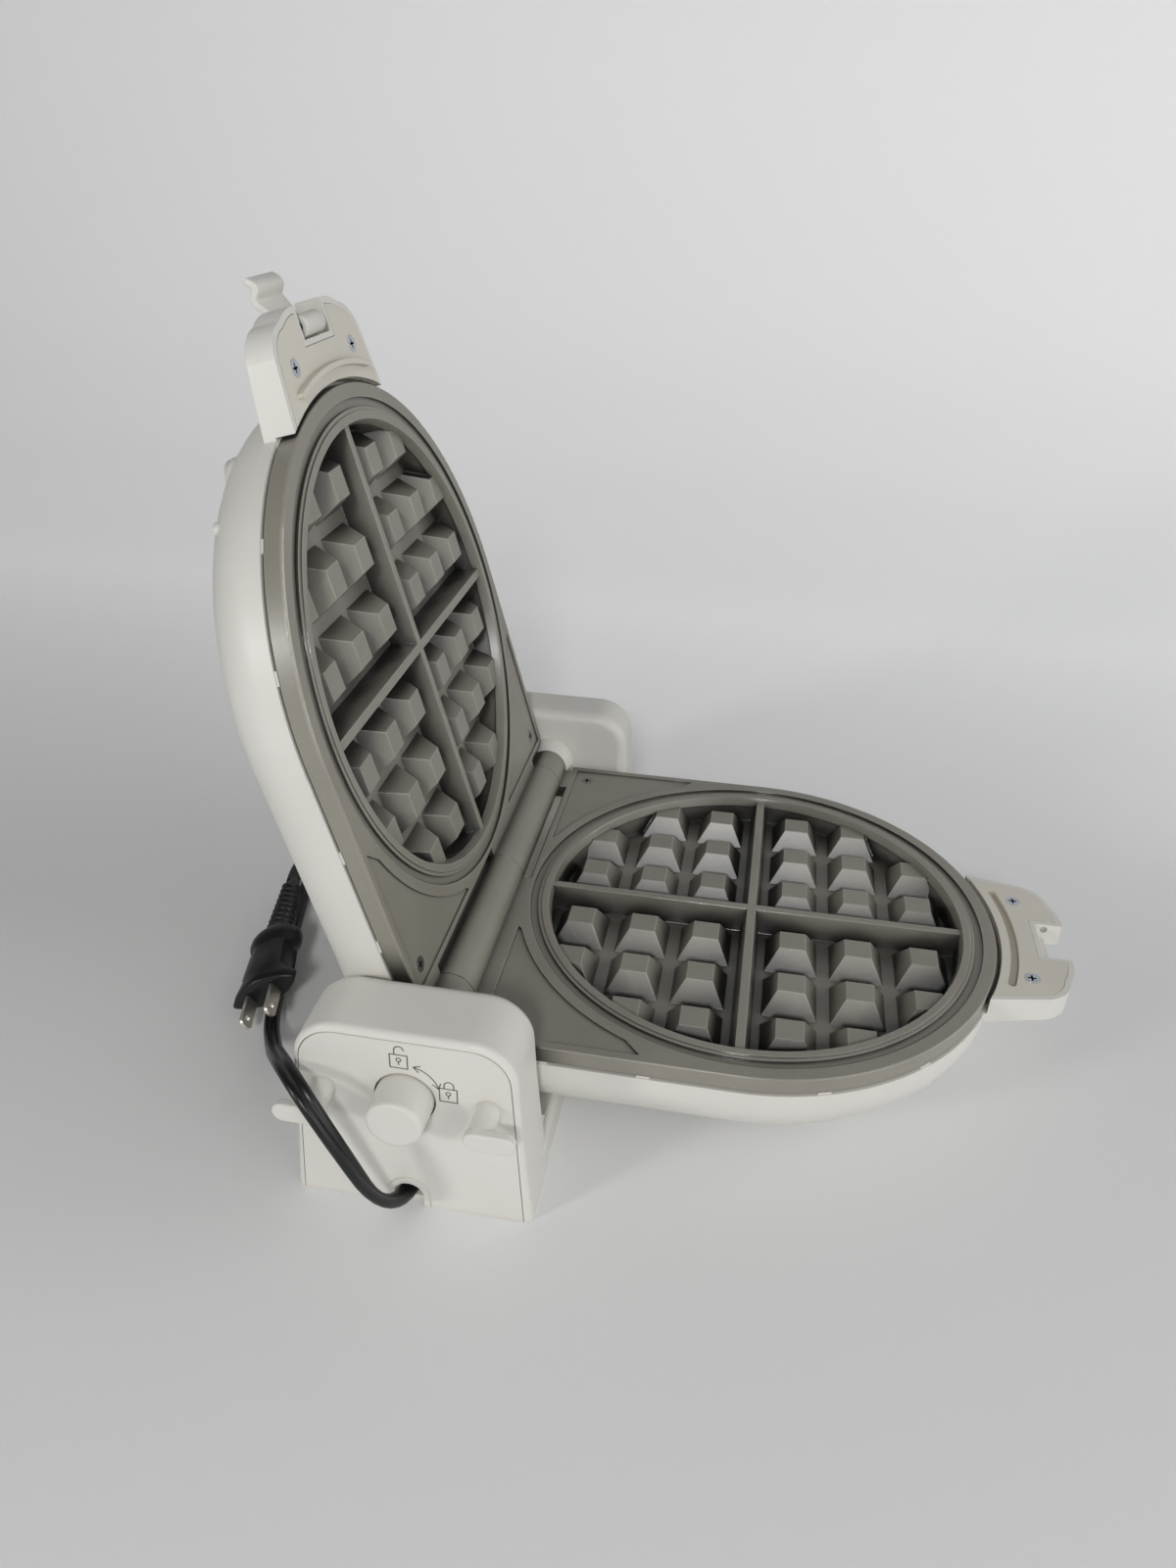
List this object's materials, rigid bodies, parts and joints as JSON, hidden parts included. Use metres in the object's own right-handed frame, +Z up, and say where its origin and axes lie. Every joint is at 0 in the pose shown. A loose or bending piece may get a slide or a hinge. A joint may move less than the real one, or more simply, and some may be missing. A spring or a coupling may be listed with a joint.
{
  "type": "belgian waffle maker",
  "caption": "White flip waffle maker on a low two-tower stand, lid open on round grey nonstick grid plates, with handle latch, push knob and cord.",
  "frame": {"origin": "on the table under the hinge axis, midway between the two towers", "axes": "+X from the hinge to the handle, +Y from the knob tower to the plain tower, +Z up"},
  "size_m": [0.3616, 0.2968, 0.2933],
  "materials": {
    "white_plastic": "satin warm white",
    "beige_plastic": "matte beige",
    "nonstick": "grey nonstick coating on cast aluminium",
    "steel": "zinc-plated steel",
    "chrome": "polished",
    "element_steel": "heat-darkened sheath",
    "grey_rubber": "matte grey",
    "white_rubber": "matte off-white",
    "black_cord": "satin black",
    "nickel": "nickel-plated brass"
  },
  "bodies": {
    "stand": {"stand_body": "white_plastic", "control_face": "white_plastic", "bottom_cover": "white_plastic", "base_pads": "grey_rubber", "base_screws": "steel", "wrap_peg_left": "white_plastic", "wrap_peg_right": "white_plastic", "cord_gland": "white_plastic", "bush_near": "white_plastic", "bush_far": "white_plastic", "stem_guide": "white_plastic", "knob_spring": "steel", "cord_stretch": "black_cord", "cord_coil": "black_cord", "plug_body": "black_cord", "plug_blades": "nickel"},
    "lower_grill": {"lower_shell": "white_plastic", "lower_plate": "nonstick", "lower_handle_cover": "beige_plastic", "lower_handle_screws": "chrome", "lower_plate_screws": "steel", "lower_element": "element_steel", "lower_element_clamps": "steel", "lower_thermostat": "steel", "lower_foot_pad": "white_rubber", "hinge_pin_near": "steel", "hinge_pin_far": "steel", "lock_collar": "steel"},
    "upper_grill": {"upper_shell": "white_plastic", "upper_plate": "nonstick", "upper_handle_cover": "beige_plastic", "upper_handle_screws": "chrome", "upper_plate_screws": "steel", "upper_element": "element_steel", "upper_element_clamps": "steel", "upper_thermostat": "steel", "upper_foot_pad": "white_rubber", "latch_pin": "steel"},
    "latch_clip": {"latch": "white_plastic"},
    "knob_slide": {"spring_washer": "steel"},
    "knob_turn": {"knob": "white_plastic", "knob_stem": "steel", "stem_clip": "steel"}
  },
  "joints": [
    {"name": "flip", "type": "hinge", "parent": "stand", "child": "lower_grill", "pos_m": [0, 0, 0.0525], "axis": [0, -1, 0], "range_deg": [0, 60]},
    {"name": "lid", "type": "hinge", "parent": "lower_grill", "child": "upper_grill", "pos_m": [0, 0, 0.0525], "axis": [0, 1, 0], "range_deg": [0, 105]},
    {"name": "latch_swing", "type": "hinge", "parent": "upper_grill", "child": "latch_clip", "pos_m": [-0.06434, 0, 0.27834], "axis": [0, 1, 0], "range_deg": [0, 120]},
    {"name": "knob_press", "type": "slide", "parent": "stand", "child": "knob_slide", "axis": [0, 1, 0], "range_m": [0, 0.003], "stiffness_N_per_m": 300, "springref_m": -0.002, "deforming": ["knob_spring"]},
    {"name": "knob_rotate", "type": "hinge", "parent": "knob_slide", "child": "knob_turn", "pos_m": [0, -0.14, 0.0525], "axis": [0, 1, 0], "range_deg": [0, 50]}
  ]
}
